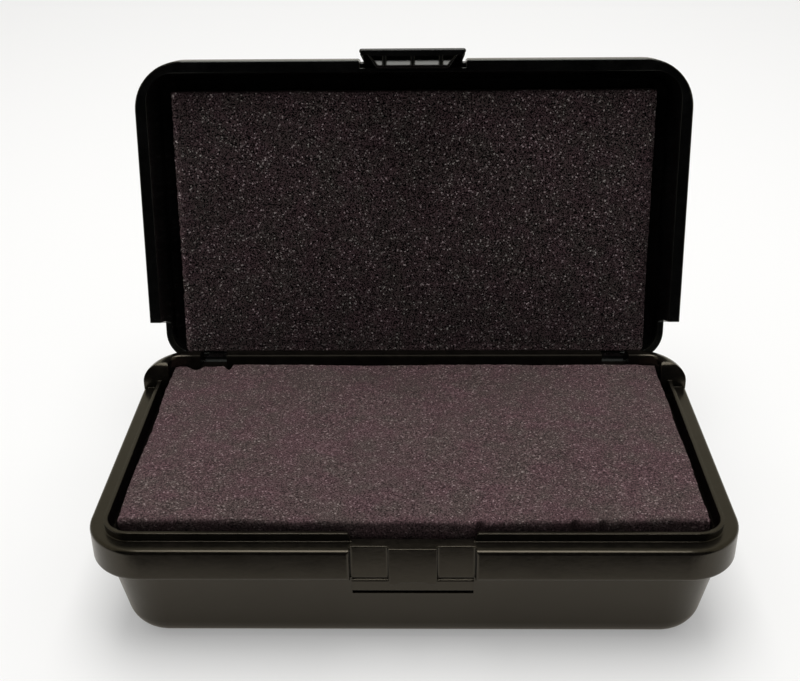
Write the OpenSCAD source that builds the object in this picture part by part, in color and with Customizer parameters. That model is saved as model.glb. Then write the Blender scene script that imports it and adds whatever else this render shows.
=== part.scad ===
// Small blow-moulded carrying case with a foam pad in each half, a one-piece snap latch
// and two hinge pins. It is drawn standing open, with the lid leaning on its stop.
// The origin is the middle of the base's underside. X is right, Y is back, Z is up.

/* [Case] */
// Width of the case over its rim
case_w = 217; // [190:1:260]
// Depth of the case over its rim, front to back
case_d = 124; // [112:1:160]
// Height of the ledge that the lid closes on
ledge_z = 44.5; // [40:0.5:60]
// Height of the lid above the ledge
lid_h = 22; // [20.5:0.5:32]
// Corner radius of the rim, seen from above
rim_r = 19; // [16:0.5:22]
// Thickness of each blown wall where the floor and the lid top are double
wall = 1.8; // [1.4:0.1:2]

/* [Base rim] */
// Height of the band round the base
band_h = 12.2; // [9:0.1:14]
// How far the bands stand out from the tub walls
band_step = 3; // [2.4:0.1:3.4]
// Width of the flat ledge outside the lip
ledge_w = 5.7; // [5:0.1:6.5]
// Thickness of the lip that enters the lid
lip_t = 1.4; // [1:0.1:1.8]
// Height of the lip above the ledge
lip_h = 3; // [2:0.1:4]
// Outer corner radius of the lip
lip_r = 10; // [8:0.5:12]
// Width of the gap in the lip behind the latch
lip_gap = 43; // [38:1:50]
// Rounding of the top edge of the bands
edge_r = 1.2; // [0.6:0.1:1.6]
// Rounding of the bottom edge of the base's band
foot_r = 1.5; // [0.8:0.1:2]

/* [Base tub] */
// Lean of the outer walls in degrees
tub_draft = 11.5; // [8:0.5:12]
// Corner radius of the tub just under the band
tub_r = 21; // [19:0.5:24]
// Rounding between the walls and the underside
tub_round = 10; // [6:0.5:11]
// Height of the pocket floor above the underside
floor_z = 8; // [6:0.5:10]
// Lean of the pocket walls in degrees
pocket_draft = 5; // [3:0.5:6]
// Rounding at the edge of the pocket floor
pocket_round = 1.8; // [1:0.1:2]
// Corner radius of the pocket below the rim
pocket_r = 16; // [14:0.5:17]
// Height of the rim, where the pocket keeps the corner radius of the lip
pocket_rim = 4; // [3:0.5:6]

/* [Raised rear rim] */
// Height of the rear rim above the ledge
rear_h = 9.6; // [8:0.1:11]
// Thickness of the rear rim
rear_t = 10; // [9:0.1:11]
// Inner corner radius of the rear rim
rear_in_r = 4; // [3:0.5:8]
// Rounding of the outer top edge of the rear rim
rear_round = 7; // [3:0.5:8.5]
// Distance from the hinge pin to the front end of the rear rim
rear_reach = 17.8; // [17:0.1:24]

/* [Lid] */
// Height of the band round the lid
lid_band_h = 10; // [8.5:0.1:11.5]
// Thickness of the lid's walls just above its band
lid_wall = 2.6; // [1.6:0.1:3]
// Corner radius of the lid body just above its band
lid_r = 12; // [9:0.5:13]
// Width of the lid's rim face
lid_rim_w = 4.5; // [4:0.1:5]
// Depth of the lid pocket
lid_pocket = 16.5; // [15:0.5:17]
// Lean of the lid pocket walls in degrees
lid_draft = 14; // [10:0.5:15]
// Rounding at the edge of the lid pocket floor
lid_floor_r = 5; // [3:0.5:6]
// Rounding of the outer top edge of the lid
lid_round = 7; // [4:0.5:8]
// How far the lid opens in degrees
open_angle = 101; // [92:1:110]

/* [Hinge] */
// Diameter of the hinge pins
pin_d = 3; // [2.4:0.1:3.4]
// Radius of the hinge knuckles
knuckle_r = 3.6; // [3.2:0.1:4]
// Distance of the pins in from the back face
pin_inset = 1; // [0.5:0.1:1.5]
// Height of the pins above the ledge
pin_rise = 0.5; // [0:0.1:1]
// Distance of each hinge in from the side of the case
hinge_in = 27.2; // [24:0.1:45]
// Width of each hinge arm of the lid
arm_w = 10; // [8:0.5:14]
// Length of the base knuckle on each side of an arm
boss_w = 9; // [6:0.5:10]
// Thickness of the hinge arms
arm_t = 3.4; // [3:0.1:4.2]
// Length of the stop heel below the pin
heel_l = 5; // [3:0.5:8]

/* [Latch] */
// Width of the latch
latch_w = 38.4; // [32:0.1:44]
// Gap between the latch and each side of its notch
latch_gap = 1.3; // [0.8:0.1:1.6]
// Thickness of the latch plate
latch_t = 1.7; // [1.4:0.1:1.8]
// Height of the latch pivot above the ledge
latch_rise = 6.8; // [6:0.1:7.4]
// Diameter of the latch trunnions
trunnion_d = 2.2; // [1.8:0.1:2.4]
// How far the latch stands in front of the bands
latch_proud = 0.7; // [0.5:0.1:1]
// Length of the latch below the catch bar
latch_tail = 2.5; // [2.3:0.1:4]
// Width of the hook where it leaves the latch plate
hook_w = 33; // [28:0.5:34]
// Width of the hook at its tip
hook_tip_w = 25; // [18:0.5:27]
// How far the hook reaches behind the face of the catch bar
hook_reach = 3.3; // [2:0.1:3.5]
// Distance between the ribs under the hook
rib_pitch = 10.4; // [6:0.1:11]
// Height of the catch bar
bar_h = 4.6; // [3:0.1:5]
// Depth of the catch bar behind the face of the band
bar_back = 2.5; // [2.2:0.1:2.7]
// Width of the pad above the catch bar
pad_w = 15.8; // [12:0.2:24]
// Depth of that pad behind the face of the band
pad_back = 1.4; // [1.3:0.1:2]
// How far the latch is swung out in the open case, in degrees
latch_swing = 8.6; // [5:0.1:15]

/* [Foam] */
// Width of both foam pads
foam_w = 192; // [160:1:192]
// Height of the base pad above the ledge
foam_crown = 5.6; // [3:0.1:7]
// Rounding of the base pad's front top edge
foam_front_r = 4; // [2:0.5:6]
// Gap between the base pad and the lip at the front
foam_gap = 3.4; // [2:0.1:5]
// Distance from the front of the lid to the lid pad
lid_foam_margin = 12.5; // [11:0.5:20]
// Depth of the lid pad's face below the lid rim
foam_recess = 10.2; // [10:0.1:11]

/* [Hidden] */
$fn = 96;

// Fits and small gaps
seat_gap = 0.2;      // lid rim above the ledge when closed
pin_fit = 0.05;      // hinge pin in the base bores, on the radius
knuckle_fit = 0.08;  // lid knuckle on the hinge pin, on the radius
side_gap = 0.35;     // hinge arm to the sides of its notch
turn_gap = 0.4;      // turning parts to the walls round them
stop_gap = 0.03;     // heel of the hinge arm to the back of the band
trunnion_fit = 0.06; // latch trunnion in its socket, on the radius
hook_gap = 0.2;      // top of the hook to the catch bar
foam_fit = 0.1;      // foam pads to the pocket walls beside them
over = 1;            // how far cutters run past a face

// Small details
bar_drop = 1.2;      // top of the catch bar below the foot of the band
bar_chamfer = 0.4;   // front edge of the catch bar
ramp_r = 6;          // curve of the ramp below the hook
ramp_back = 3.3;     // how far the ramp runs back from the hook's tip
tip_r = 0.8;         // rounding of the hook's tip
rib_t = 0.9;         // ribs that fill the ramp out to a square corner
rib_h = 1.4;         // height of those ribs
latch_bead_r = 0.9;  // bead along the free end of the latch
bead_out = 0.6;      // how far the bead stands out of the plate
bead_over = 0.4;     // how far the bead runs past each side of the latch
barrel_r = 2;        // barrel along the pivot of the latch
barrel_back = 2.1;   // latch pivot behind the face of the band
socket_depth = 1.8;  // how far each trunnion enters the lid
pad_notch_w = 9.8;   // notch in the foot of the pad
pad_notch_h = 0.9;
heel_t = 2.2;        // thickness of the heel's foot
heel_in = 0.6;       // sides of the heel inside the sides of its arm
web_t = 2.5;         // web below each base knuckle, where it meets the band
air_edge = 4;        // solid margin round the air between the double walls
rear_edge = 1.2;     // rounding of the inner top edge of the rear rim
nose_r = 3;          // rounding of the front ends of the rear rim, seen from the side
bay_in_r = 1;        // rounding of the inner corners of the latch bay
bay_edge_r = 1.2;    // rounding of the band's ends beside the latch bay

// Places worked out from the sizes above
half_w = case_w / 2;
half_d = case_d / 2;
band_foot = ledge_z - band_h;
rear_top = ledge_z + rear_h;
pin_y = half_d - pin_inset;
pin_z = ledge_z + pin_rise;
bore_r = pin_d / 2 + pin_fit;
seat_r = knuckle_r + turn_gap;
notch_w = arm_w + 2 * side_gap;
hinge_w = arm_w + 2 * side_gap + 2 * boss_w;
hinge_x = half_w - hinge_in;
lip_x = half_w - ledge_w;
lip_y = half_d - ledge_w;
pocket_x = lip_x - lip_t;
pocket_front = lip_y - lip_t;
pocket_back = half_d - rear_t;
pocket_mid = (pocket_back - pocket_front) / 2;
pocket_half_d = (pocket_back + pocket_front) / 2;
lid_bottom = ledge_z + seat_gap;
lid_top = ledge_z + lid_h;
lid_floor = lid_bottom + lid_pocket;
lid_side_in = lid_rim_w + lid_band_h * tan(lid_draft) - lid_wall;
bay_w = latch_w + 2 * latch_gap;
bar_top = band_foot - bar_drop;
bar_foot = bar_top - bar_h;
bar_face = bar_back - half_d;
pivot_y = barrel_back - half_d;
pivot_z = ledge_z + latch_rise;
latch_face = -half_d - latch_proud;
latch_inner = latch_face + latch_t;
latch_end = bar_foot - latch_tail;
bar_w = bay_w - 2 * bar_chamfer;
hook_tip = bar_face + hook_reach;
ramp_y = hook_tip - ramp_back;

// Two-dimensional shapes

// Rounded rectangle about the middle
module round_rect(half_x, half_y, r) {
    square([2 * half_x - 2 * r, 2 * half_y], center = true);
    square([2 * half_x, 2 * half_y - 2 * r], center = true);
    for (sx = [-1, 1], sy = [-1, 1])
        translate([sx * (half_x - r), sy * (half_y - r)]) circle(r);
}

// Side section of a tub: x runs out from the middle of a corner, y runs up. The wall leans
// outward from a rounded floor edge to reach wide at the height knee, and stands straight above.
module tub_section(wide, floor, knee, top, draft, round_r) {
    tangent_z = floor + round_r * (1 - sin(draft));
    tangent_x = wide - (knee - tangent_z) * tan(draft);
    round_x = tangent_x - round_r * cos(draft);
    intersection() {
        union() {
            polygon([
                [0, floor], [round_x, floor], [round_x, floor + round_r], [tangent_x, tangent_z],
                [wide, knee], [wide, top], [0, top]
            ]);
            translate([round_x, floor + round_r]) circle(round_r);
        }
        translate([0, floor]) square([wide + round_r, top - floor]);
    }
}

// Section of a straight wall with a rounded top edge and, where low_r isn't 0, a rounded foot
module edged_section(wide, foot, top, round_r, low_r = 0) {
    translate([0, foot + low_r]) square([wide, top - foot - round_r - low_r]);
    translate([0, top - 2 * round_r]) square([wide - round_r, 2 * round_r]);
    translate([wide - round_r, top - round_r]) circle(round_r);
    if (low_r > 0) {
        translate([0, foot]) square([wide - low_r, 2 * low_r]);
        translate([wide - low_r, foot + low_r]) circle(low_r);
    }
}

// Section of a cutter that leaves a rounded top edge round the opening that it makes
module flared_section(wide, foot, top, round_r) {
    translate([0, foot]) square([wide, top + over - foot]);
    translate([0, top - round_r]) difference() {
        square([wide + round_r, round_r + over]);
        translate([wide + round_r, 0]) circle(round_r);
    }
}

// Plan of a recess in the front of a band, from left to right, with rounded inner corners
module recess_plan(left, right, depth) {
    back = depth - half_d;
    translate([left, -half_d - over]) square([right - left, depth + over - bay_in_r]);
    translate([left + bay_in_r, back - 2 * bay_in_r]) square([right - left - 2 * bay_in_r, 2 * bay_in_r]);
    for (x = [left + bay_in_r, right - bay_in_r]) translate([x, back - bay_in_r]) circle(bay_in_r);
}

// Plan of the cut that rounds the band's end at each side of the latch
module mouth_plan() {
    for (side = [-1, 1]) translate([side * bay_w / 2, -half_d]) difference() {
        translate([-bay_edge_r, -over]) square([2 * bay_edge_r, bay_edge_r + over]);
        translate([side * bay_edge_r, bay_edge_r]) circle(bay_edge_r);
    }
}

// Carries a section round a rounded rectangle whose corner centres lie at mid_x and mid_y
module carried(mid_x, mid_y, floor, top) {
    for (sx = [-1, 1], sy = [-1, 1])
        translate([sx * mid_x, sy * mid_y, 0]) rotate_extrude() children();
    for (turn = [0, 180]) rotate([0, 0, turn]) {
        translate([0, mid_y, 0]) rotate([90, 0, 90]) linear_extrude(2 * mid_x, center = true) children();
        translate([mid_x, 0, 0]) rotate([90, 0, 0]) linear_extrude(2 * mid_y, center = true) children();
    }
    translate([-mid_x, -mid_y, floor]) cube([2 * mid_x, 2 * mid_y, top - floor]);
}

// Round bar along X about a point of the side view
module cross_bar(y, z, r, length) {
    translate([0, y, z]) rotate([0, 90, 0]) cylinder(h = length, r = r, center = true);
}

// Such a bar with round ends
module cross_bead(y, z, r, length) {
    straight = length - 2 * r;
    translate([0, y, z]) rotate([0, 90, 0]) rotate_extrude() intersection() {
        union() {
            square([2 * r, straight], center = true);
            for (side = [-1, 1]) translate([0, side * straight / 2]) circle(r);
        }
        translate([0, -length]) square([r, 2 * length]);
    }
}

// Extrudes a side view, with Y to the right and Z up, along X about the middle
module cross_profile(length) {
    rotate([90, 0, 90]) linear_extrude(length, center = true) children();
}

module at_hinges() {
    for (side = [-1, 1]) translate([side * hinge_x, 0, 0]) children();
}

// Base

module base_tub() {
    carried(half_w - band_step - tub_r, half_d - band_step - tub_r, 0, ledge_z - edge_r)
        tub_section(tub_r, 0, band_foot, ledge_z - edge_r, tub_draft, tub_round);
}

module base_band() {
    carried(half_w - rim_r, half_d - rim_r, band_foot, ledge_z)
        edged_section(rim_r, band_foot, ledge_z, edge_r, foot_r);
}

// Space for the foam, drawn smaller all round by inset for the pad itself. The corners are
// tighter in the rim than in the tub below it.
module base_pocket(inset, low, high) {
    rim_corner_r = lip_r - lip_t - inset;
    tub_corner_r = pocket_r - inset;
    wide_x = pocket_x - inset;
    wide_y = pocket_half_d - inset;
    rim_low = ledge_z - pocket_rim;
    translate([0, pocket_mid, 0]) {
        carried(wide_x - tub_corner_r, wide_y - tub_corner_r, low, ledge_z)
            tub_section(tub_corner_r, low, ledge_z, ledge_z, pocket_draft, pocket_round);
        translate([0, 0, rim_low]) linear_extrude(high - rim_low) round_rect(wide_x, wide_y, rim_corner_r);
    }
}

// Lip that runs along the sides and the front, and stops at the latch
module base_lip() {
    difference() {
        translate([0, 0, ledge_z - over]) linear_extrude(lip_h + over) round_rect(lip_x, lip_y, lip_r);
        translate([-half_w, pin_y - rear_reach + over, ledge_z - 2 * over])
            cube([case_w, case_d, lip_h + 3 * over]);
        translate([0, -lip_y, 0]) rotate([90, 0, 0]) linear_extrude(4 * lip_t, center = true) polygon([
            [-lip_gap / 2 + lip_h / 2, ledge_z], [lip_gap / 2 - lip_h / 2, ledge_z],
            [lip_gap / 2, ledge_z + lip_h + over], [-lip_gap / 2, ledge_z + lip_h + over]
        ]);
    }
}

// Opening inside the raised rear rim, with its top edge rounded
module rear_opening(foot) {
    mid_x = half_w - rear_t - rear_in_r;
    translate([0, -rear_t, 0]) carried(mid_x, half_d - rear_in_r, foot, rear_top + over)
        flared_section(rear_in_r, foot, rear_top, rear_edge);
}

// Side view of the cut that rounds the front ends of the rear rim
module nose_cut() {
    mid_z = rear_top - nose_r;
    lean = asin((mid_z - pin_z) / (rear_reach - nose_r));
    mid_y = pin_y - (rear_reach - nose_r) * cos(lean);
    reach = nose_r / cos(lean) + over;
    difference() {
        polygon([
            [mid_y, mid_z], [mid_y - reach * cos(lean), mid_z + reach * sin(lean)],
            [mid_y - reach, rear_top + over], [mid_y, rear_top + over]
        ]);
        translate([mid_y, mid_z]) circle(nose_r);
    }
}

// Thick rim that rises behind the ledge, with its front ends struck about the hinge pin
module rear_rim() {
    foot = min(ledge_z - 2 * edge_r, rear_top - 2 * rear_round);
    difference() {
        intersection() {
            carried(half_w - rim_r, half_d - rim_r, foot, rear_top)
                edged_section(rim_r, foot, rear_top, rear_round);
            cross_bar(pin_y, pin_z, rear_reach, case_w + over);
        }
        rear_opening(foot - over);
        cross_profile(case_w + over) nose_cut();
    }
}

// Knuckle beside a hinge arm, with a web that runs down the back of the band
module base_knuckle() {
    cross_bar(pin_y, pin_z, knuckle_r, boss_w);
    cross_profile(boss_w) polygon([
        [pin_y, pin_z], [pin_y + knuckle_r * cos(tub_draft), pin_z - knuckle_r * sin(tub_draft)],
        [half_d, band_foot + over], [half_d - web_t, band_foot + over]
    ]);
}

module base_knuckles() {
    step = (notch_w + boss_w) / 2;
    at_hinges() for (side = [-1, 1]) translate([side * step, 0, 0]) base_knuckle();
}

// Room for a hinge arm: a round seat for its knuckle, a slot behind it and a notch through the rim
module hinge_room() {
    cross_bar(pin_y, pin_z, seat_r, notch_w);
    translate([-notch_w / 2, pin_y - seat_r, pin_z]) cube([notch_w, 3 * seat_r, rear_top]);
    translate([-notch_w / 2, half_d - rear_t - over, pin_z + knuckle_r]) cube([notch_w, rear_t, rear_top]);
}

// Latch bay: the band stops, and the wall behind it carries a pad and a catch bar
module latch_bay() {
    translate([0, 0, band_foot - over]) linear_extrude(band_h + 2 * over) {
        recess_plan(-bay_w / 2, bay_w / 2, pad_back);
        recess_plan(-bay_w / 2, -pad_w / 2, band_step);
        recess_plan(pad_w / 2, bay_w / 2, band_step);
        mouth_plan();
    }
}

// Foot of the pad, where it runs down over the bar
module catch_pad() {
    pad_foot = bar_top - bar_drop;
    pad_top = ledge_z - edge_r / 2;
    translate([0, pad_back - half_d, 0]) rotate([90, 0, 180]) linear_extrude(band_step) difference() {
        translate([-pad_w / 2, pad_foot]) square([pad_w, pad_top - pad_foot]);
        polygon([
            [-pad_notch_w / 2 - over, pad_foot - over], [pad_notch_w / 2 + over, pad_foot - over],
            [pad_notch_w / 2 - pad_notch_h, pad_foot + pad_notch_h],
            [-pad_notch_w / 2 + pad_notch_h, pad_foot + pad_notch_h]
        ]);
    }
}

module catch_bar() {
    bar_in = 2 * band_step - half_d;
    cross_profile(bar_w) polygon([
        [bar_in, bar_top], [bar_face + bar_chamfer, bar_top], [bar_face, bar_top - bar_chamfer],
        [bar_face + bar_chamfer, bar_foot], [bar_in, bar_foot]
    ]);
}

// Slot under the bar for the hook, struck about the latch pivot
module hook_slot() {
    slot_back = hook_tip + turn_gap;
    cross_profile(bar_w) intersection() {
        difference() {
            translate([pivot_y, pivot_z]) circle(pivot_z - latch_end + hook_gap);
            translate([pivot_y, pivot_z]) circle(pivot_z - bar_foot);
        }
        translate([-half_d, latch_end - over]) square([half_d + slot_back, bar_top - latch_end]);
    }
}

// Air between two walls, clear of the rounded edges outside them
module wall_air(low, high, edge_inset, r) {
    inset = edge_inset + air_edge;
    translate([0, 0, low]) linear_extrude(high - low) round_rect(half_w - inset, half_d - inset, r);
}

module base_shell() {
    floor_inset = band_step + (band_foot - tub_round) * tan(tub_draft) + tub_round / 2;
    color([0.09, 0.09, 0.09]) difference() {
        union() {
            difference() {
                union() {
                    base_tub();
                    base_band();
                    base_lip();
                }
                latch_bay();
                base_pocket(0, floor_z, ledge_z + lip_h + over);
            }
            catch_pad();
            catch_bar();
            rear_rim();
            base_knuckles();
        }
        hook_slot();
        at_hinges() {
            hinge_room();
            cross_bar(pin_y, pin_z, bore_r, hinge_w + 2 * side_gap);
        }
        wall_air(wall, floor_z - wall, floor_inset, tub_round);
    }
}

// Lid, drawn closed and then turned open about the hinge pins

module turned_open() {
    translate([0, pin_y, pin_z]) rotate([-open_angle, 0, 0]) translate([0, -pin_y, -pin_z]) children();
}

// The body stands in from the band at the front and the sides, and is flush with it at the back
module lid_body() {
    body_half_d = half_d - lid_side_in / 2;
    translate([0, lid_side_in / 2, lid_top + lid_bottom]) mirror([0, 0, 1])
        carried(half_w - lid_side_in - lid_r, body_half_d - lid_r, lid_bottom, lid_top)
            tub_section(lid_r, lid_bottom, lid_top - lid_band_h, lid_top, tub_draft, lid_round);
}

// The band stops where the raised rear rim of the base begins
module lid_band() {
    difference() {
        translate([0, 0, lid_bottom + lid_bottom + lid_band_h]) mirror([0, 0, 1])
            carried(half_w - rim_r, half_d - rim_r, lid_bottom, lid_bottom + lid_band_h)
                edged_section(rim_r, lid_bottom, lid_bottom + lid_band_h, edge_r / 2);
        cross_bar(pin_y, pin_z, rear_reach + turn_gap, case_w + 2 * over);
    }
}

// Space inside the lid, drawn smaller all round by inset for the pad. Its back wall meets the
// inner face of the hinge arms where the pad's face is.
module lid_pocket_space(inset) {
    corner_r = lip_r + ledge_w - lid_rim_w - inset;
    wide = half_w - lid_rim_w - inset;
    front = half_d - lid_rim_w - inset;
    back = half_d - arm_t + foam_recess * tan(lid_draft) - inset;
    translate([0, (back - front) / 2, lid_floor + lid_bottom]) mirror([0, 0, 1])
        carried(wide - corner_r, (front + back) / 2 - corner_r, lid_bottom, lid_floor + over)
            tub_section(corner_r, lid_bottom, lid_floor, lid_floor + over, lid_draft, lid_floor_r);
}

// Room for the raised rear rim of the base, struck about the hinge pin
module rear_room() {
    low = lid_bottom - over;
    intersection() {
        cross_bar(pin_y, pin_z, rear_reach + turn_gap, case_w + 2 * over);
        translate([-case_w, 0, low]) cube([2 * case_w, case_d, rear_top + seat_gap - low]);
    }
}

// Arm that reaches down to the pin, with a knuckle round it
module hinge_arm() {
    arm_top = rear_top + arm_t;
    cross_bar(pin_y, pin_z, knuckle_r, arm_w);
    translate([-arm_w / 2, half_d - arm_t, pin_z]) cube([arm_w, arm_t, arm_top - pin_z]);
}

// Heel that meets the back of the base's band and stops the open lid
module hinge_heel() {
    heel_y = half_d + stop_gap;
    cross_profile(arm_w - 2 * heel_in) polygon([
        [heel_y, pin_z], [heel_y, pin_z - heel_l], [heel_y + heel_t, pin_z - heel_l],
        [heel_y + rear_h, pin_z - pin_inset], [heel_y + rear_h, pin_z]
    ]);
}

// Notch for the latch in the lid's band, with a round seat for its barrel and a socket at each end
module lid_latch_notch() {
    translate([0, 0, lid_bottom - over]) linear_extrude(lid_band_h + 2 * over) {
        translate([-bay_w / 2, -half_d - over]) square([bay_w, band_step + over]);
        mouth_plan();
    }
    cross_bar(pivot_y, pivot_z, barrel_r + turn_gap, bay_w);
    cross_bar(pivot_y, pivot_z, trunnion_d / 2 + trunnion_fit, bay_w + 2 * socket_depth + 2 * turn_gap);
}

module lid_hollow() {
    difference() {
        union() {
            lid_body();
            lid_band();
        }
        rear_room();
        lid_pocket_space(0);
        lid_latch_notch();
        wall_air(lid_floor + wall, lid_top - wall, lid_side_in + lid_round + band_step, tub_round);
    }
}

module lid_shell() {
    color([0.08, 0.08, 0.08]) difference() {
        union() {
            turned_open() {
                lid_hollow();
                at_hinges() hinge_arm();
            }
            at_hinges() hinge_heel();
        }
        at_hinges() cross_bar(pin_y, pin_z, pin_d / 2 + knuckle_fit, arm_w + over);
    }
}

// Latch, drawn closed, swung out about its trunnions and then carried open with the lid

module latch_plate() {
    barrel_top = pivot_z + barrel_r;
    barrel_foot = pivot_z - barrel_r;
    cross_bar(pivot_y, pivot_z, barrel_r, latch_w);
    cross_bar(pivot_y, pivot_z, trunnion_d / 2, bay_w + 2 * socket_depth);
    bead_y = latch_face + latch_bead_r - bead_out;
    cross_bead(bead_y, latch_end + latch_bead_r, latch_bead_r, latch_w + 2 * bead_over);
    cross_profile(latch_w) polygon([
        [pivot_y, barrel_top], [latch_face + latch_bead_r, barrel_top],
        [latch_face, barrel_top - latch_bead_r], [latch_face, latch_end], [latch_inner, latch_end],
        [latch_inner, barrel_foot - latch_bead_r], [pivot_y, barrel_foot]
    ]);
}

// Side view of the hook: its top is struck about the pivot, and a curved ramp leads to its tip
module hook_profile() {
    top_r = pivot_z - bar_foot + hook_gap;
    tip_z = pivot_z - sqrt(pow(top_r, 2) - pow(hook_tip - tip_r - pivot_y, 2)) - tip_r;
    root_y = latch_face + over;
    height = bar_foot - latch_end + over;
    difference() {
        intersection() {
            union() {
                translate([root_y, latch_end]) square([hook_tip - tip_r - root_y, height]);
                translate([hook_tip - tip_r, tip_z]) circle(tip_r);
            }
            union() {
                translate([root_y, latch_end]) square([ramp_y - root_y, height]);
                translate([ramp_y, latch_end + ramp_r]) circle(ramp_r);
            }
        }
        translate([pivot_y, pivot_z]) circle(top_r);
    }
}

// Hook with ends that slant in to its tip
module latch_hook() {
    height = bar_foot - latch_end + over;
    intersection() {
        cross_profile(hook_w) hook_profile();
        translate([0, 0, latch_end - over]) linear_extrude(height + 2 * over) polygon([
            [-hook_w / 2, latch_face], [hook_w / 2, latch_face], [hook_w / 2, latch_inner],
            [hook_tip_w / 2, hook_tip + over], [-hook_tip_w / 2, hook_tip + over], [-hook_w / 2, latch_inner]
        ]);
    }
}

module latch_ribs() {
    for (step = [-1, 0, 1])
        translate([step * rib_pitch - rib_t / 2, ramp_y, latch_end]) cube([rib_t, ramp_back - tip_r, rib_h]);
}

module latch() {
    color([0.07, 0.07, 0.07]) turned_open()
        translate([0, pivot_y, pivot_z]) rotate([-latch_swing, 0, 0]) translate([0, -pivot_y, -pivot_z]) {
            latch_plate();
            latch_hook();
            latch_ribs();
        }
}

// Foam pads

// Block cut from sheet, with its front top edge worn round, held between the pocket's corners
module base_foam() {
    front = foam_gap - pocket_front;
    back = pocket_back - foam_fit;
    top = ledge_z + foam_crown;
    color([0.24, 0.21, 0.21]) intersection() {
        cross_profile(foam_w) {
            translate([front, floor_z]) square([back - front, top - floor_z - foam_front_r]);
            translate([front + foam_front_r, floor_z]) square([back - front - foam_front_r, top - floor_z]);
            translate([front + foam_front_r, top - foam_front_r]) circle(foam_front_r);
        }
        base_pocket(foam_fit, floor_z, top + over);
        translate([0, -rear_t, floor_z]) linear_extrude(top + over - floor_z)
            round_rect(half_w - rear_t - foam_fit, half_d - foam_fit, rear_in_r - foam_fit);
    }
}

// Flat pad that fills the bottom of the lid's pocket
module lid_foam() {
    front = lid_foam_margin - half_d;
    face_z = lid_bottom + foam_recess;
    color([0.17, 0.16, 0.17]) turned_open() intersection() {
        translate([-foam_w / 2, front, face_z]) cube([foam_w, case_d, lid_pocket]);
        lid_pocket_space(foam_fit);
    }
}

// Hinge pins

module hinge_pin(side) {
    color([0.62, 0.62, 0.64]) translate([side * hinge_x, 0, 0])
        cross_bar(pin_y, pin_z, pin_d / 2, hinge_w);
}

base_shell();
lid_shell();
latch();
base_foam();
lid_foam();
hinge_pin(-1);  // hinge_pin_left
hinge_pin(1);  // hinge_pin_right
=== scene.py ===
"""Looks of the small blow-moulded carrying case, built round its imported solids.

The solids of the shells and the pins show as they are. The latch and the two foam pads are made
here, from copies of their solids. Lengths are in metres, in the frame of the solids: X right,
Y back, Z up, with the origin in the middle of the base's underside.
"""

import math

import bpy
from mathutils import Matrix, Vector, noise


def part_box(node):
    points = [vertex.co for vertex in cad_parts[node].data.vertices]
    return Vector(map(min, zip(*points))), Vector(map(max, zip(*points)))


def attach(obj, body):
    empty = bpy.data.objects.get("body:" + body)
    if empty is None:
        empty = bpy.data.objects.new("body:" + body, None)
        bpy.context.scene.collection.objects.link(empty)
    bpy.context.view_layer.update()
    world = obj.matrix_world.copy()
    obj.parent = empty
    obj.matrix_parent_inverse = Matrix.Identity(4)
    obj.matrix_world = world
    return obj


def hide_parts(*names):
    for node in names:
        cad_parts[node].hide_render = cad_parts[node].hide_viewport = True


MM = 0.001

# The pads' unevenness is noise, which differs from run to run unless it is seeded
NOISE_SEED = 1
noise.seed_set(NOISE_SEED)

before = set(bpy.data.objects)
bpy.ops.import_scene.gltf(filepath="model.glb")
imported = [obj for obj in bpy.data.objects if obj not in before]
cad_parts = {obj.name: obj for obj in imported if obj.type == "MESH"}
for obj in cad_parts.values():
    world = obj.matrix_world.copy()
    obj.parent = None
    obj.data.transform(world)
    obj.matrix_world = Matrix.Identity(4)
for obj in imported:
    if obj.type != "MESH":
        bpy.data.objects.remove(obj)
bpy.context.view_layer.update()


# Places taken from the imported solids
pad_low, pad_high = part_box("base_foam")
lid_pad_low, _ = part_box("lid_foam")

# How the lid and its latch stand: hinge pin, angle it is open, latch pivot, angle it is swung out
PIN = Vector((0, 61, 45)) * MM
OPEN_ANGLE = math.radians(101)
LATCH_PIVOT = Vector((0, -59.9, 51.3)) * MM
LATCH_SWING = math.radians(8.6)


# Small helpers for materials

def start_material(name):
    """A new material with its main shader and the piece's own coordinates."""
    material = bpy.data.materials.new(name)
    material.use_nodes = True
    nodes = material.node_tree.nodes
    shader = nodes["Principled BSDF"]
    place = nodes.new("ShaderNodeTexCoord").outputs["Object"]
    return material, shader, place


def link(tree, output, socket):
    tree.links.new(output, socket)


def noise_field(tree, place, size, detail=2.0, roughness=0.5):
    """Soft random value between 0 and 1, with patches about size metres across."""
    field = tree.nodes.new("ShaderNodeTexNoise")
    field.inputs["Scale"].default_value = 1 / size
    field.inputs["Detail"].default_value = detail
    field.inputs["Roughness"].default_value = roughness
    link(tree, place, field.inputs["Vector"])
    return field.outputs["Fac"]


def remap(tree, value, low, high, to_low=0, to_high=1):
    """Carries a value from one range to another, and stops at its ends."""
    node = tree.nodes.new("ShaderNodeMapRange")
    node.inputs["From Min"].default_value = low
    node.inputs["From Max"].default_value = high
    node.inputs["To Min"].default_value = to_low
    node.inputs["To Max"].default_value = to_high
    link(tree, value, node.inputs["Value"])
    return node.outputs["Result"]


def mix_colours(tree, factor, first, second):
    """Goes from the first colour to the second. Each is a colour or the output of a node."""
    node = tree.nodes.new("ShaderNodeMix")
    node.data_type = "RGBA"
    for socket, colour in ((node.inputs["A"], first), (node.inputs["B"], second)):
        if isinstance(colour, bpy.types.NodeSocket):
            link(tree, colour, socket)
        else:
            socket.default_value = (*colour, 1)
    link(tree, factor, node.inputs["Factor"])
    return node.outputs["Result"]


def multiply_colours(tree, first, second):
    node = tree.nodes.new("ShaderNodeMix")
    node.data_type = "RGBA"
    node.blend_type = "MULTIPLY"
    node.inputs["Factor"].default_value = 1
    link(tree, first, node.inputs["A"])
    link(tree, second, node.inputs["B"])
    return node.outputs["Result"]


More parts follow.
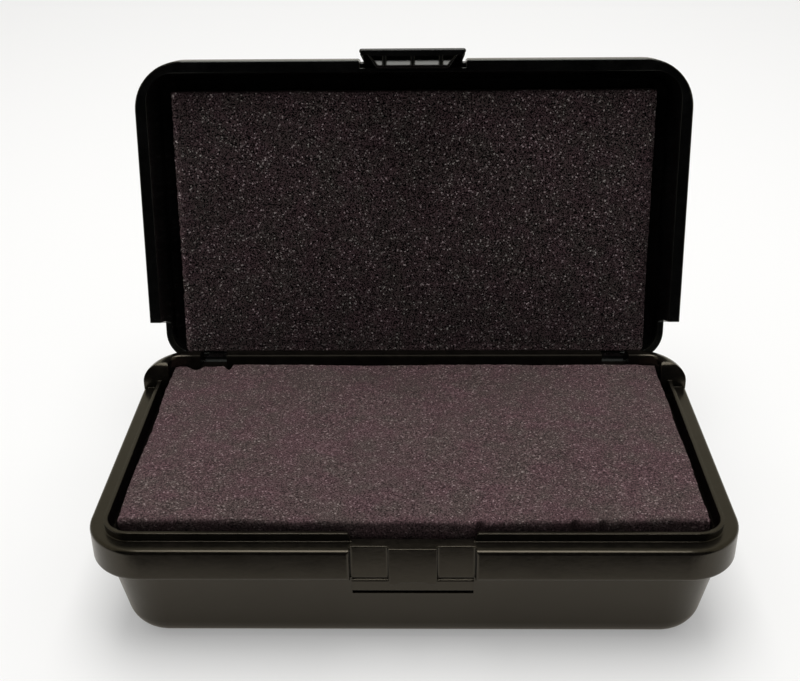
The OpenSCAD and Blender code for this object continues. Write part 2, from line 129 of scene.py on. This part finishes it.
def compute(tree, operation, first, second=None):
    """One Math node. Each value is a number or the output of a node."""
    node = tree.nodes.new("ShaderNodeMath")
    node.operation = operation
    for index, value in enumerate((first, second)):
        if isinstance(value, bpy.types.NodeSocket):
            link(tree, value, node.inputs[index])
        elif value is not None:
            node.inputs[index].default_value = value
    return node.outputs["Value"]


def bump(tree, height, depth, strength=1.0, below=None):
    """Raises the surface by up to depth metres in its shading, on top of the bump below."""
    node = tree.nodes.new("ShaderNodeBump")
    node.inputs["Distance"].default_value = depth
    node.inputs["Strength"].default_value = strength
    link(tree, height, node.inputs["Height"])
    if below is not None:
        link(tree, below, node.inputs["Normal"])
    return node.outputs["Normal"]


# Moulded plastic

# Sizes of what breaks up its surface: worn patches, streaks, waves, orange peel and grain
WORN_PATCH = 9 * MM
STREAK = 2.2 * MM
WAVE = 14 * MM
PEEL = 1.6 * MM
GRAIN = 0.35 * MM

# How deep the waves and the peel are, and how far the light sees the edges rounded
WAVE_DEPTH = 0.2 * MM
PEEL_DEPTH = 0.02 * MM
EDGE_ROUNDING = 0.6 * MM

# How much rougher the dullest streaks are
STREAK_ROUGHER = 1.4

# Stretch between the hinges whose reflections are taken off as painted shade: half its width, its front,
# and its soft edges
DULL_HALF = 90 * MM
DULL_FRONT = 47 * MM
DULL_SIDE_FADE = 4 * MM
DULL_FADE = 1 * MM
DULL_SHINE = 0.05
FULL_SHINE = 0.5


def soft_edges(tree, radius):
    """Normal that rounds sharp edges over radius metres, so that they catch the light."""
    node = tree.nodes.new("ShaderNodeBevel")
    node.samples = 6
    node.inputs["Radius"].default_value = radius
    return node.outputs["Normal"]


def moulded_plastic(name, dark, light, tint, gloss, grain_depth):
    """Black blown polyethylene: satin, slightly wavy, with a fine grain and worn patches."""
    material, shader, place = start_material(name)
    tree = material.node_tree
    patches = noise_field(tree, place, WORN_PATCH, detail=4, roughness=0.65)
    streaks = noise_field(tree, place, STREAK, detail=5, roughness=0.7)
    worn = remap(tree, compute(tree, "MULTIPLY", patches, streaks), 0.16, 0.4)
    link(tree, mix_colours(tree, worn, dark, light), shader.inputs["Base Color"])
    roughness = remap(tree, streaks, 0.3, 0.7, gloss, STREAK_ROUGHER * gloss)
    link(tree, roughness, shader.inputs["Roughness"])
    shader.inputs["Specular Tint"].default_value = (*tint, 1)
    edges = soft_edges(tree, EDGE_ROUNDING)
    waves = bump(tree, noise_field(tree, place, WAVE, detail=1), WAVE_DEPTH, strength=0.5, below=edges)
    peel = bump(tree, noise_field(tree, place, PEEL, detail=3), PEEL_DEPTH, below=waves)
    grain = bump(tree, noise_field(tree, place, GRAIN, detail=2), grain_depth, below=peel)
    link(tree, grain, shader.inputs["Normal"])
    return material


def painted_shade_between_hinges(material, back):
    """Painted shade: takes the shine off what lies between the two hinges and before a plane at back."""
    tree = material.node_tree
    apart = tree.nodes.new("ShaderNodeSeparateXYZ")
    link(tree, tree.nodes["Texture Coordinate"].outputs["Object"], apart.inputs["Vector"])
    from_middle = compute(tree, "ABSOLUTE", apart.outputs["X"])
    beside = remap(tree, from_middle, DULL_HALF, DULL_HALF + DULL_SIDE_FADE)
    before = remap(tree, apart.outputs["Y"], DULL_FRONT, DULL_FRONT + DULL_FADE, 1, 0)
    behind = remap(tree, apart.outputs["Y"], back, back + DULL_FADE)
    outside = compute(tree, "MAXIMUM", beside, compute(tree, "MAXIMUM", before, behind))
    shine = remap(tree, outside, 0, 1, DULL_SHINE, FULL_SHINE)
    link(tree, shine, tree.nodes["Principled BSDF"].inputs["Specular IOR Level"])


# Foam

# Attribute of the foam pads that carries painted shade on the base pad's front and painted highlights on
# the pads' edges
PAINTED_LIGHT_ATTRIBUTE = "painted_shade_and_highlight"

# Sizes in the foam: its fine texture, its cells, and patches that differ in shade and in tinge
FOAM_TEXTURE = 0.52 * MM
FOAM_CELL = 0.5 * MM
SHADE_PATCH = 22 * MM
TINGE_PATCH = 9 * MM
PINKISH = (1.07, 0.97, 1.02)
GREENISH = (0.95, 1.04, 0.97)

# How deep the cells are
CELL_DEPTH = 0.2 * MM


def open_cell_foam(name, shadow_tone, wall_tone, glint_tone, rarity, softness, mottle):
    """Charcoal open-cell foam: shaded cells, lit cell walls, and a few walls that glint."""
    material, shader, place = start_material(name)
    tree = material.node_tree
    texture = noise_field(tree, place, FOAM_TEXTURE, detail=2, roughness=0.6)
    lit = remap(tree, texture, 0.5 - softness, 0.5 + softness)
    tone = mix_colours(tree, lit, shadow_tone, wall_tone)
    cells = tree.nodes.new("ShaderNodeTexVoronoi")
    cells.inputs["Scale"].default_value = 1 / FOAM_CELL
    link(tree, place, cells.inputs["Vector"])
    chance = tree.nodes.new("ShaderNodeSeparateColor")
    link(tree, cells.outputs["Color"], chance.inputs["Color"])
    tone = mix_colours(tree, compute(tree, "POWER", chance.outputs["Red"], rarity), tone, glint_tone)
    uneven = remap(tree, noise_field(tree, place, SHADE_PATCH, detail=4, roughness=0.6), 0.3, 0.7)
    shade = mix_colours(tree, uneven, (1 - mottle,) * 3, (1 + mottle,) * 3)
    tinge = remap(tree, noise_field(tree, place, TINGE_PATCH, detail=2), 0.35, 0.65)
    shade = multiply_colours(tree, shade, mix_colours(tree, tinge, PINKISH, GREENISH))
    # Painted shade and painted highlights that the pads carry on their vertices
    cut = tree.nodes.new("ShaderNodeAttribute")
    cut.attribute_name = PAINTED_LIGHT_ATTRIBUTE
    shade = multiply_colours(tree, shade, cut.outputs["Color"])
    link(tree, multiply_colours(tree, tone, shade), shader.inputs["Base Color"])
    shader.inputs["Roughness"].default_value = 0.95
    shader.inputs["Specular IOR Level"].default_value = 0.1
    hollow = bump(tree, cells.outputs["Distance"], CELL_DEPTH, strength=0.5)
    link(tree, hollow, shader.inputs["Normal"])
    return material


# Steel

# Lines that drawing leaves along the wire: their width and depth, and their width against length
LINE = 0.2 * MM
LINE_DEPTH = 0.02 * MM
LINE_SLENDERNESS = 0.05


def drawn_steel():
    """Bright drawn steel wire with fine lines along the pin."""
    material, shader, place = start_material("drawn_steel")
    tree = material.node_tree
    stretch = tree.nodes.new("ShaderNodeMapping")
    stretch.inputs["Scale"].default_value = (LINE_SLENDERNESS, 1, 1)
    link(tree, place, stretch.inputs["Vector"])
    lines = noise_field(tree, stretch.outputs["Vector"], LINE, detail=3)
    shader.inputs["Metallic"].default_value = 1
    link(tree, mix_colours(tree, lines, (0.42, 0.42, 0.43), (0.6, 0.6, 0.61)), shader.inputs["Base Color"])
    link(tree, remap(tree, lines, 0.2, 0.8, 0.25, 0.42), shader.inputs["Roughness"])
    link(tree, bump(tree, lines, LINE_DEPTH), shader.inputs["Normal"])
    return material


def dress(node, material):
    """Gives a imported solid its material, and leaves its mesh as it is."""
    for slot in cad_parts[node].material_slots:
        slot.link = "OBJECT"
        slot.material = material


# Copies of solids

# Vertices closer than this are one
MERGE = 0.01 * MM


def pick(piece):
    """Makes a piece the active one, and the only one selected."""
    bpy.ops.object.select_all(action="DESELECT")
    piece.select_set(True)
    bpy.context.view_layer.objects.active = piece


def copy_of_solid(node, name):
    """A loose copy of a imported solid, with its doubled vertices merged."""
    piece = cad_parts[node].copy()
    piece.data = piece.data.copy()
    piece.name = name
    piece.parent = None
    for key in list(piece.keys()):
        del piece[key]
    bpy.context.scene.collection.objects.link(piece)
    pick(piece)
    bpy.ops.object.mode_set(mode="EDIT")
    bpy.ops.mesh.select_all(action="SELECT")
    bpy.ops.mesh.remove_doubles(threshold=MERGE)
    bpy.ops.object.mode_set(mode="OBJECT")
    return piece


def recolour(piece, material):
    piece.data.materials.clear()
    piece.data.materials.append(material)


def opened_lid():
    """Carries a place on the closed lid to where it is on the open one."""
    return Matrix.Translation(PIN) @ Matrix.Rotation(-OPEN_ANGLE, 4, "X") @ Matrix.Translation(-PIN)


# Foam pads

# Size of the even faces that the pads' solids are divided into
PAD_FACE = 1 * MM

# Unevenness of the pads: how wide its bumps are, how high they are, and which noise they follow
BASE_BUMPS = ((28, 0.6, 1), (5, 0.25, 2), (2, 0.15, 3))
LID_BUMPS = ((30, 0.3, 4), (3, 0.15, 5))

# The base holds the lower half of its pad. Over this height above it, the pad's moves grow to full.
LOOSENING = 20 * MM

# Swelling of the base pad's front and sides, and how far in from them it is felt
FRONT_SWELL = 1.6 * MM
FRONT_SWELL_REACH = 30 * MM
SIDE_SWELL = 1.1 * MM
SIDE_SWELL_REACH = 20 * MM

# Half the width over which the front swells, and how wide and strong the waves in its edge are
FRONT_HALF = 88 * MM
FRONT_WAVE = 22 * MM
FRONT_WAVE_SHARE = 0.5
FRONT_WAVE_NOISE = 6

# How far the top has sunk, and how far the rear edge rises again to the right of a step
SINKAGE = 0.5 * MM
REAR_STEP = -74 * MM
REAR_LIFT = 0.7 * MM
REAR_LIFT_REACH = 5 * MM

# Cuts in the upper edges of the base pad: place along X, width, and depth
FRONT_CUTS = ((22, 1.6, 2.2), (53, 2, 2), (62, 1.4, 1.6))
REAR_CUTS = ((-88, 3.6, 1.6), (-75.5, 2, 2))
FRONT_CUT_REACH = 5 * MM
REAR_CUT_REACH = 4 * MM

# Rounding of the front edge of the base pad's solid
FRONT_ROUND = 4 * MM

# Swelling of the lid pad's face, and how far in from the face it is felt
LID_SWELL = 0.69 * MM
LID_SWELL_REACH = 4 * MM

# Front face of the base's rear rim, and how far before it the lid pad's face grows even
REAR_RIM_FRONT = 52 * MM
EVEN_REACH = 12 * MM
EVENNESS = 0.92

# How much painted shade darkens the base pad's front, and how much painted highlights lighten its rear edge
# and the lid pad's edges; and how far in from them each reaches
FRONT_PAINTED_SHADE = 0.62
FRONT_SHADE_REACH = 12 * MM
REAR_PAINTED_HIGHLIGHT = 0.4
REAR_HIGHLIGHT_REACH = 1.6 * MM
LID_EDGE_PAINTED_HIGHLIGHT = 1.5
LID_LEFT_REACH = 3 * MM
LID_BOTTOM_REACH = 3.5 * MM

# How far a face of the front has to be turned forwards for its painted shade to start, and to be full
FRONT_FACING = 0.35
FRONT_FACING_FADE = 0.4


def wander(point, size, seed):
    """Smooth random vector of about unit length that changes over size metres."""
    return noise.noise_vector(point / size + Vector((seed, 2 * seed, 3 * seed)))


def unevenness(place, bumps):
    """How far the bumps of all sizes carry a place."""
    moves = [wander(place, wide * MM, seed) * high * MM for wide, high, seed in bumps]
    return sum(moves, Vector())


def nearness(distance, reach):
    """1 at no distance, falling smoothly to 0 at reach."""
    return max(0, 1 - (distance / reach) ** 2) ** 2


def fade_in(value, fade):
    """0 up to nothing, then growing evenly to 1 at fade."""
    return min(1, max(0, value / fade))


def even_faces(piece):
    remesh = piece.modifiers.new("even faces", "REMESH")
    remesh.mode = "VOXEL"
    remesh.voxel_size = PAD_FACE
    bpy.ops.object.modifier_apply(modifier=remesh.name)


def draw_out_corner(place):
    """Carries a point of the rounded front edge out to a crisp corner."""
    middle = Vector((place.x, pad_low.y + FRONT_ROUND, pad_high.z - FRONT_ROUND))
    away = place - middle
    if away.y >= 0 or away.z <= 0:
        return place
    squareness = max(-away.y, away.z) / away.length
    return middle + away / squareness


def paint_shade_and_highlight(piece, tone_at):
    """Stores the painted shade and painted highlight at each vertex, from its place and the way it faces.
    """
    piece.data.update()
    tones = piece.data.attributes.new(PAINTED_LIGHT_ATTRIBUTE, "FLOAT", "POINT")
    for vertex, tone in zip(piece.data.vertices, tones.data):
        tone.value = tone_at(vertex.co, vertex.normal)


def base_pad_painted_light(place, normal):
    """Painted shade darkens the forward-facing front, and a painted highlight lightens the rear edge."""
    # Painted shade on faces that turn forwards, near the front
    front = fade_in(-normal.y - FRONT_FACING, FRONT_FACING_FADE)
    front *= nearness(place.y - pad_low.y, FRONT_SHADE_REACH)
    # Painted highlight along the rear edge
    rear = nearness(pad_high.y - place.y, REAR_HIGHLIGHT_REACH)
    return 1 - FRONT_PAINTED_SHADE * front + REAR_PAINTED_HIGHLIGHT * rear


def lid_pad_painted_highlight(place, normal):
    """A painted highlight lightens the left side and the bottom edge."""
    left = nearness(place.x - lid_pad_low.x, LID_LEFT_REACH)
    bottom = nearness(place.z - lid_pad_low.z, LID_BOTTOM_REACH)
    return 1 + LID_EDGE_PAINTED_HIGHLIGHT * max(left, bottom)


def front_move(place):
    """How far the base pad's front comes forwards at a place, less its cuts there."""
    wave = 1 + FRONT_WAVE_SHARE * wander(Vector((place.x, 0, 0)), FRONT_WAVE, FRONT_WAVE_NOISE).x
    front = nearness(place.y - pad_low.y, FRONT_SWELL_REACH)
    forwards = FRONT_SWELL * wave * front * nearness(place.x, FRONT_HALF)
    for middle, wide, deep in FRONT_CUTS:
        across = nearness(place.x - middle * MM, wide * MM)
        forwards -= deep * MM * across * nearness(place.y - pad_low.y, FRONT_CUT_REACH)
    return forwards


def top_move(place):
    """How far the base pad's top rises at a place, which is less than nothing where it has sunk."""
    up = -SINKAGE
    if place.x > REAR_STEP:
        up += REAR_LIFT * nearness(pad_high.y - place.y, REAR_LIFT_REACH)
    for middle, wide, deep in REAR_CUTS:
        across = nearness(place.x - middle * MM, wide * MM)
        up -= deep * MM * across * nearness(place.y - pad_high.y, REAR_CUT_REACH)
    return up


def side_move(place):
    """How far the base pad's sides spread at a place."""
    return math.copysign(SIDE_SWELL, place.x) * nearness(abs(place.x) - pad_high.x, SIDE_SWELL_REACH)


def finish_pad(piece, material, node, body):
    recolour(piece, material)
    pick(piece)
    bpy.ops.object.shade_smooth()
    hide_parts(node)
    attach(piece, body)


def base_pad():
    """Block of foam whose front has swollen over the years, with small cuts in its edges."""
    piece = copy_of_solid("base_foam", "base_pad")
    even_faces(piece)
    for vertex in piece.data.vertices:
        place = draw_out_corner(vertex.co)
        swell = Vector((side_move(place), -front_move(place), top_move(place)))
        move = unevenness(place, BASE_BUMPS) + swell
        vertex.co = place + move * fade_in(place.z - pad_high.z / 2, LOOSENING)
    paint_shade_and_highlight(piece, base_pad_painted_light)
    finish_pad(piece, base_foam_material, "base_foam", "base")


def lid_pad():
    """Flat pad whose face has swollen a little. It is even where the base's rear rim comes close."""
    piece = copy_of_solid("lid_foam", "lid_pad")
    even_faces(piece)
    outward = Vector((0, -math.sin(OPEN_ANGLE), -math.cos(OPEN_ANGLE)))
    face = max(vertex.co.dot(outward) for vertex in piece.data.vertices)
    closed_lid = opened_lid().inverted()
    for vertex in piece.data.vertices:
        place = vertex.co.copy()
        before_rim = REAR_RIM_FRONT - (closed_lid @ place).y
        rear = nearness(max(0, before_rim), EVEN_REACH)
        swell = outward * LID_SWELL * nearness(face - place.dot(outward), LID_SWELL_REACH)
        vertex.co = place + swell + unevenness(place, LID_BUMPS) * (1 - EVENNESS * rear)
    paint_shade_and_highlight(piece, lid_pad_painted_highlight)
    finish_pad(piece, lid_foam_material, "lid_foam", "lid")


# Latch, hollowed between the ribs under its hook. Places are those of the closed latch.

# Hollow: centre and radius of its curved floor, seen from the side, and the plane where it starts
HOLLOW_CENTRE = Vector((0, -63.8, 14.4)) * MM
HOLLOW_RADIUS = 12 * MM
HOLLOW_START = Vector((0, -60.6, 0)) * MM

# Sides of the hollows: the inner side of each pair, and the outer one at its root and at the tip
HOLLOWS = ((0.7, 9.7, 9.7), (11.1, 15.8, 12))
HOOK_ROOT = -61 * MM
HOOK_TIP = -56.2 * MM

# Cylinder that the hollows are cut with, which is wider than the latch
CUTTER_WIDTH = 60 * MM
CUTTER_SIDES = 200

# Edges sharper than this stay crisp
CRISP_ANGLE = math.radians(5)


def as_opened():
    """Carries a place on the closed case to where it is on the open lid's latch."""
    latch_turn = Matrix.Rotation(-LATCH_SWING, 4, "X")
    latch = Matrix.Translation(LATCH_PIVOT) @ latch_turn @ Matrix.Translation(-LATCH_PIVOT)
    return opened_lid() @ latch


def trim(place, outward):
    """Cuts off what lies beyond a plane of the piece in edit mode, and closes the cut."""
    bpy.ops.mesh.select_all(action="SELECT")
    bpy.ops.mesh.bisect(plane_co=place, plane_no=outward, use_fill=True, clear_outer=True)


def hollow_cutter(side, inner, outer_root, outer_tip):
    """Slice of a lying cylinder between an inner side and a slanted outer one."""
    bpy.ops.mesh.primitive_cylinder_add(
        vertices=CUTTER_SIDES, radius=HOLLOW_RADIUS, depth=CUTTER_WIDTH,
        location=HOLLOW_CENTRE, rotation=(0, math.pi / 2, 0)
    )
    cutter = bpy.context.object
    bpy.ops.object.transform_apply(location=True, rotation=True, scale=True)
    bpy.ops.object.mode_set(mode="EDIT")
    trim(HOLLOW_START, (0, -1, 0))
    trim((side * inner * MM, 0, 0), (-side, 0, 0))
    slant = Vector((side * (HOOK_TIP - HOOK_ROOT), (outer_root - outer_tip) * MM, 0))
    trim((side * outer_root * MM, HOOK_ROOT, 0), slant.normalized())
    bpy.ops.object.mode_set(mode="OBJECT")
    cutter.data.transform(as_opened())
    return cutter


def cut_away(piece, cutter):
    pick(piece)
    cut = piece.modifiers.new("hollow", "BOOLEAN")
    cut.operation = "DIFFERENCE"
    cut.solver = "EXACT"
    cut.object = cutter
    bpy.ops.object.modifier_apply(modifier=cut.name)
    bpy.data.objects.remove(cutter)


def hollowed_latch():
    """The latch's solid with four hollows under its hook, as moulders leave to save plastic."""
    piece = copy_of_solid("latch", "hollowed_latch")
    for inner, outer_root, outer_tip in HOLLOWS:
        for side in (-1, 1):
            cut_away(piece, hollow_cutter(side, inner, outer_root, outer_tip))
    recolour(piece, latch_material)
    pick(piece)
    bpy.ops.object.shade_smooth_by_angle(angle=CRISP_ANGLE)
    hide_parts("latch")
    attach(piece, "latch")


# Stage, lamps and camera

# The floor lies this far under the case
FLOOR_GAP = 0.2 * MM
FLOOR_SIZE = 8

# Dark cards that shiny pieces mirror: their size, how far off they are, and where the table ends
CARD_SIZE = 1.6
CARD_DISTANCE = 0.6
CARD_LIFT = 1 * MM
TABLE_EDGE = -0.108

# Camera fitted to the case's rims: place, lens, and angles of turn, tilt and roll
CAMERA_PLACE = (0.00232, -0.35847, 0.27892)
CAMERA_LENS = 52.11
CAMERA_TURN = 0.0190
CAMERA_TILT = 0.4879
CAMERA_ROLL = -0.0107


def seen_colour(tree, in_mirrors):
    """Plain white for the camera and clear pieces, and a warmer, dimmer tone for shiny ones."""
    path = tree.nodes.new("ShaderNodeLightPath")
    return mix_colours(tree, path.outputs["Is Glossy Ray"], (1, 1, 1), in_mirrors)


def seen_share(tree):
    """1 for what the camera sees, also in shiny and clear pieces, and 0 for all other light."""
    path = tree.nodes.new("ShaderNodeLightPath")
    seen = compute(tree, "MAXIMUM", path.outputs["Is Camera Ray"], path.outputs["Is Glossy Ray"])
    return compute(tree, "MAXIMUM", seen, path.outputs["Is Transmission Ray"])


def glowing_paper(name, colour, glow, in_mirrors):
    """Pale paper. Part of what the camera and mirrors see of it is its own plain light."""
    material = bpy.data.materials.new(name)
    material.use_nodes = True
    tree = material.node_tree
    shader = tree.nodes["Principled BSDF"]
    shader.inputs["Base Color"].default_value = (*colour, 1)
    shader.inputs["Roughness"].default_value = 1
    shader.inputs["Specular IOR Level"].default_value = 0
    white = tree.nodes.new("ShaderNodeEmission")
    white.inputs["Strength"].default_value = 1
    link(tree, seen_colour(tree, in_mirrors), white.inputs["Color"])
    blend = tree.nodes.new("ShaderNodeMixShader")
    link(tree, compute(tree, "MULTIPLY", seen_share(tree), glow), blend.inputs["Fac"])
    link(tree, shader.outputs["BSDF"], blend.inputs[1])
    link(tree, white.outputs["Emission"], blend.inputs[2])
    link(tree, blend.outputs["Shader"], tree.nodes["Material Output"].inputs["Surface"])
    return material


def paper_floor():
    bpy.ops.mesh.primitive_plane_add(size=FLOOR_SIZE, location=(0, 0, -FLOOR_GAP))
    floor = bpy.context.object
    floor.name = "paper_floor"
    bpy.ops.object.transform_apply(location=True, rotation=False, scale=False)
    paper = glowing_paper("white_paper", colour=(0.86, 0.855, 0.84), glow=0.27, in_mirrors=(0.5, 0.42, 0.3))
    floor.data.materials.append(paper)


def hidden_card(name, place, turn, colour):
    """Dark card that only reflections show. The camera, the lamps and the shadows pass it by."""
    bpy.ops.mesh.primitive_plane_add(size=CARD_SIZE, location=place, rotation=(turn, 0, 0))
    card = bpy.context.object
    card.name = name
    bpy.ops.object.transform_apply(location=True, rotation=True, scale=False)
    cloth = bpy.data.materials.new(name + "_cloth")
    cloth.use_nodes = True
    cloth.node_tree.nodes["Principled BSDF"].inputs["Base Color"].default_value = (*colour, 1)
    cloth.node_tree.nodes["Principled BSDF"].inputs["Specular IOR Level"].default_value = 0
    card.data.materials.append(cloth)
    card.visible_camera = False
    card.visible_diffuse = False
    card.visible_shadow = False


def dark_room():
    """Dark space in front of the table, and the table's edge."""
    upright = math.pi / 2
    hidden_card("dark_front", (0, -CARD_DISTANCE, CARD_SIZE / 2), upright, (0.003, 0.003, 0.003))
    hidden_card("dark_table_edge", (0, TABLE_EDGE - CARD_SIZE / 2, CARD_LIFT), 0, (0.01, 0.01, 0.01))


def soft_lamp(name, place, target, size, power):
    data = bpy.data.lights.new(name, "AREA")
    data.shape = "RECTANGLE"
    data.size, data.size_y = size
    data.energy = power
    lamp = bpy.data.objects.new(name, data)
    bpy.context.scene.collection.objects.link(lamp)
    lamp.location = place
    lamp.rotation_euler = (Vector(target) - Vector(place)).to_track_quat("-Z", "Y").to_euler()
    return lamp


def white_world(ambient, in_mirrors):
    """White where it is seen, and a weak even light elsewhere."""
    world = bpy.data.worlds.new("white_room")
    world.use_nodes = True
    tree = world.node_tree
    sky = tree.nodes["Background"]
    link(tree, seen_colour(tree, in_mirrors), sky.inputs["Color"])
    link(tree, remap(tree, seen_share(tree), 0, 1, ambient, 1), sky.inputs["Strength"])
    bpy.context.scene.world = world


def fitted_camera():
    data = bpy.data.cameras.new("camera")
    data.lens = CAMERA_LENS
    data.sensor_width = 36
    data.clip_start = 0.01
    camera = bpy.data.objects.new("camera", data)
    bpy.context.scene.collection.objects.link(camera)
    turn = Matrix.Rotation(CAMERA_TURN, 4, "Z")
    tilt = Matrix.Rotation(math.pi / 2 - CAMERA_TILT, 4, "X")
    roll = Matrix.Rotation(CAMERA_ROLL, 4, "Z")
    camera.matrix_world = Matrix.Translation(CAMERA_PLACE) @ turn @ tilt @ roll
    bpy.context.scene.camera = camera


# Materials of the case. Those of the shells have their shine taken off as painted shade up to the back of
# the rim and the arms.

RIM_BACK = 59 * MM
ARM_BACK = 63 * MM

# The warm specular tint of the base is a painted reflection colour, standing in for the warm surroundings
# it mirrors.
base_material = moulded_plastic(
    "blown_black_base", dark=(0.0025, 0.0022, 0.0018), light=(0.006, 0.005, 0.004),
    tint=(1, 0.88, 0.68), gloss=0.18, grain_depth=0.012 * MM
)
# The lid is the same black plastic as the base; its darker tones are painted shade.
lid_material = moulded_plastic(
    "blown_black_lid", dark=(0.0008, 0.0008, 0.0008), light=(0.003, 0.003, 0.003),
    tint=(0.95, 1, 0.93), gloss=0.18, grain_depth=0.01 * MM
)
painted_shade_between_hinges(base_material, RIM_BACK)
painted_shade_between_hinges(lid_material, ARM_BACK)
latch_material = moulded_plastic(
    "latch_black_plastic", dark=(0.001, 0.001, 0.001), light=(0.003, 0.003, 0.003),
    tint=(1, 1, 0.96), gloss=0.16, grain_depth=0.005 * MM
)
base_foam_material = open_cell_foam(
    "charcoal_base_foam", shadow_tone=(0.014, 0.009, 0.0095), wall_tone=(0.114, 0.074, 0.076),
    glint_tone=(0.24, 0.18, 0.18), rarity=16, softness=0.145, mottle=0.06
)
# The lid pad is the same foam as the base pad; its darker tones are painted shade, as its face turns away
# from the overhead light.
lid_foam_material = open_cell_foam(
    "charcoal_lid_foam", shadow_tone=(0.0003, 0.0002, 0.0002), wall_tone=(0.045, 0.0301, 0.0315),
    glint_tone=(0.27, 0.23, 0.23), rarity=30, softness=0.04, mottle=0.08
)
steel = drawn_steel()


# The case

dress("base_shell", base_material)
dress("lid_shell", lid_material)
dress("hinge_pin_left", steel)
dress("hinge_pin_right", steel)
hollowed_latch()
base_pad()
lid_pad()


# What stands round it

paper_floor()
dark_room()
white_world(ambient=0.48, in_mirrors=(0.5, 0.47, 0.37))
soft_lamp("overhead_softbox", place=(0, 0.05, 1.3), target=(0, 0.05, 0), size=(0.8, 1.1), power=13)
backdrop_light = soft_lamp("backdrop_light", place=(0, 1.4, 1), target=(0, 1.3, 0), size=(2, 0.6), power=4)
backdrop_light.visible_glossy = False
fitted_camera()

bpy.context.scene.view_settings.view_transform = "Standard"
